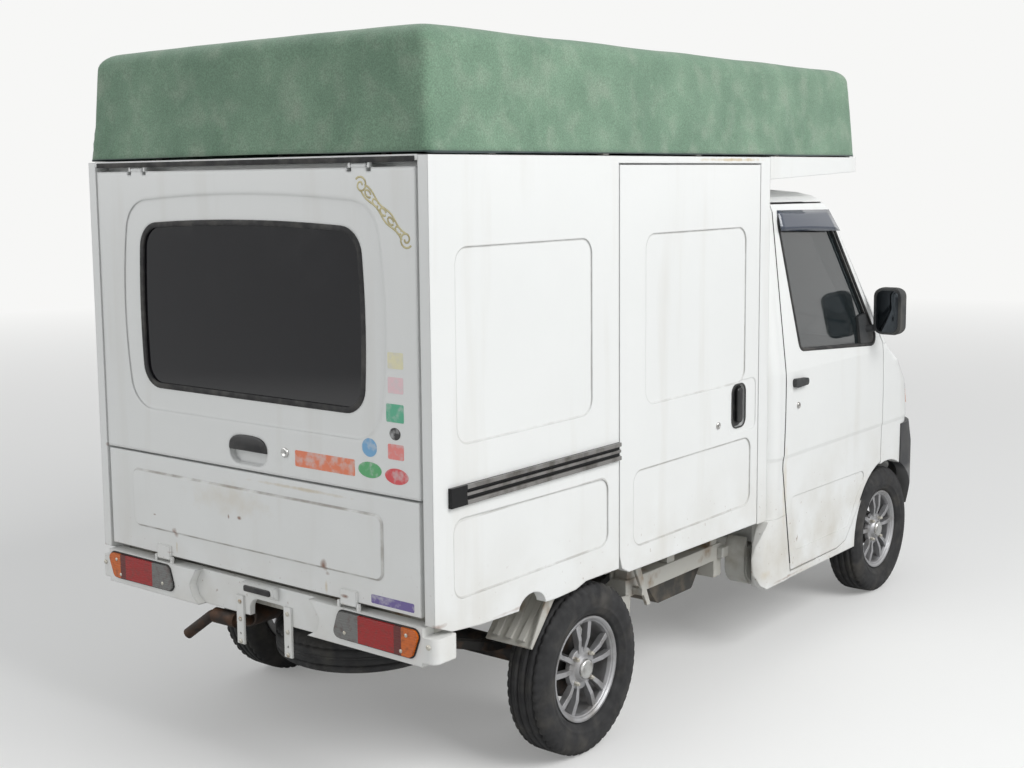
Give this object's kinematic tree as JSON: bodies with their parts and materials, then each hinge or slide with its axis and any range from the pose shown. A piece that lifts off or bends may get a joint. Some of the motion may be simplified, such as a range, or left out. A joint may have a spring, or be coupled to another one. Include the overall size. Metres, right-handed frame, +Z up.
{
  "type": "kei truck with panel box and canvas top",
  "caption": "Small white kei truck with a steel panel box, top-hinged liftgate, drop tailgate, sliding side doors and a green canvas top reaching over the cab",
  "frame": {"origin": "on the ground under the middle of the whole length and width", "axes": "+X is the truck's left, +Y is its rear, +Z is up"},
  "size_m": [1.736, 3.395, 2.205],
  "materials": {
    "white_paint": "gloss",
    "chassis_paint": "satin",
    "dark_steel": "satin",
    "cast_metal": "cast",
    "exhaust_steel": "rusty",
    "tyre_rubber": "matte",
    "alloy": "satin",
    "clear_glass": "smooth",
    "dark_glass": "smooth",
    "grey_plastic": "matte",
    "dark_plastic": "matte",
    "seat_fabric": "woven",
    "lamp_clear": "gloss",
    "lamp_red": "gloss",
    "rail_metal": "satin",
    "green_canvas": "woven"
  },
  "bodies": {
    "root": {"chassis_frame": "chassis_paint", "rear_axle": "dark_steel", "front_subframe": "dark_steel", "engine_block": "cast_metal", "drive_shaft": "dark_steel", "exhaust": "exhaust_steel", "tanks": "dark_steel", "spare_wheel": "tyre_rubber", "cab_shell": "white_paint", "cab_front": "white_paint", "cab_sills": "white_paint", "cab_floor": "white_paint", "seat_riser": "white_paint", "cab_board": "white_paint", "canvas_bows": "chassis_paint", "side_panels": "white_paint", "slide_doors": "white_paint", "cab_glass": "clear_glass", "dashboard": "grey_plastic", "seats": "seat_fabric", "front_bumper": "dark_plastic", "headlamps": "lamp_clear", "box_floor": "chassis_paint", "box_frame": "white_paint", "slide_rails": "rail_metal", "rear_valance": "white_paint", "tail_lamps": "lamp_red", "canvas_top": "green_canvas"},
    "wheel_front_left": {"tyre_front_left": "tyre_rubber", "rim_front_left": "alloy"},
    "wheel_front_right": {"tyre_front_right": "tyre_rubber", "rim_front_right": "alloy"},
    "wheel_rear_left": {"tyre_rear_left": "tyre_rubber", "rim_rear_left": "alloy"},
    "wheel_rear_right": {"tyre_rear_right": "tyre_rubber", "rim_rear_right": "alloy"},
    "steer_left": {"knuckle_left": "dark_steel"},
    "steer_right": {"knuckle_right": "dark_steel"},
    "door_left": {"cab_door_left": "white_paint", "door_glass_left": "clear_glass", "door_fittings_left": "dark_plastic"},
    "door_right": {"cab_door_right": "white_paint", "door_glass_right": "clear_glass", "door_fittings_right": "dark_plastic"},
    "liftgate": {"liftgate_panel": "white_paint", "liftgate_glass": "dark_glass"},
    "tailgate": {"tailgate": "white_paint"},
    "steering": {"steering_wheel": "grey_plastic"}
  },
  "joints": [
    {"name": "steer_right", "type": "hinge", "parent": "root", "child": "steer_right", "pos_m": [-0.577, -1.265, 0.27], "axis": [0.208, 0, 0.9781], "range_deg": [-33, 33]},
    {"name": "steer_left", "type": "hinge", "parent": "root", "child": "steer_left", "pos_m": [0.577, -1.265, 0.27], "axis": [-0.208, 0, 0.9781], "range_deg": [-33, 33]},
    {"name": "steering_turn", "type": "hinge", "parent": "root", "child": "steering", "pos_m": [-0.34, -1.015, 0.985], "axis": [0, 0.6428, 0.766], "range_deg": [-500, 500]},
    {"name": "spin_front_left", "type": "hinge", "parent": "steer_left", "child": "wheel_front_left", "pos_m": [0.65, -1.265, 0.2705], "axis": [1, 0, 0], "continuous": true},
    {"name": "spin_front_right", "type": "hinge", "parent": "steer_right", "child": "wheel_front_right", "pos_m": [-0.65, -1.265, 0.2705], "axis": [1, 0, 0], "continuous": true},
    {"name": "spin_rear_left", "type": "hinge", "parent": "root", "child": "wheel_rear_left", "pos_m": [0.65, 0.935, 0.2705], "axis": [1, 0, 0], "continuous": true},
    {"name": "spin_rear_right", "type": "hinge", "parent": "root", "child": "wheel_rear_right", "pos_m": [-0.65, 0.935, 0.2705], "axis": [1, 0, 0], "continuous": true},
    {"name": "open_door_left", "type": "hinge", "parent": "root", "child": "door_left", "pos_m": [0.7355, -1.2025, 0.8], "axis": [0, 0, -1], "range_deg": [0, 65]},
    {"name": "open_door_right", "type": "hinge", "parent": "root", "child": "door_right", "pos_m": [-0.7355, -1.2025, 0.8], "axis": [0, 0, 1], "range_deg": [0, 65]},
    {"name": "open_liftgate", "type": "hinge", "parent": "root", "child": "liftgate", "pos_m": [0, 1.672, 1.834], "axis": [1, 0, 0], "range_deg": [0, 85]},
    {"name": "open_tailgate", "type": "hinge", "parent": "root", "child": "tailgate", "pos_m": [0, 1.68, 0.611], "axis": [-1, 0, 0], "range_deg": [0, 90]}
  ],
  "couplings": [
    {"joint": "steer_left", "follows": "steer_right", "ratio": 1},
    {"joint": "steering_turn", "follows": "steer_right", "ratio": 14}
  ]
}
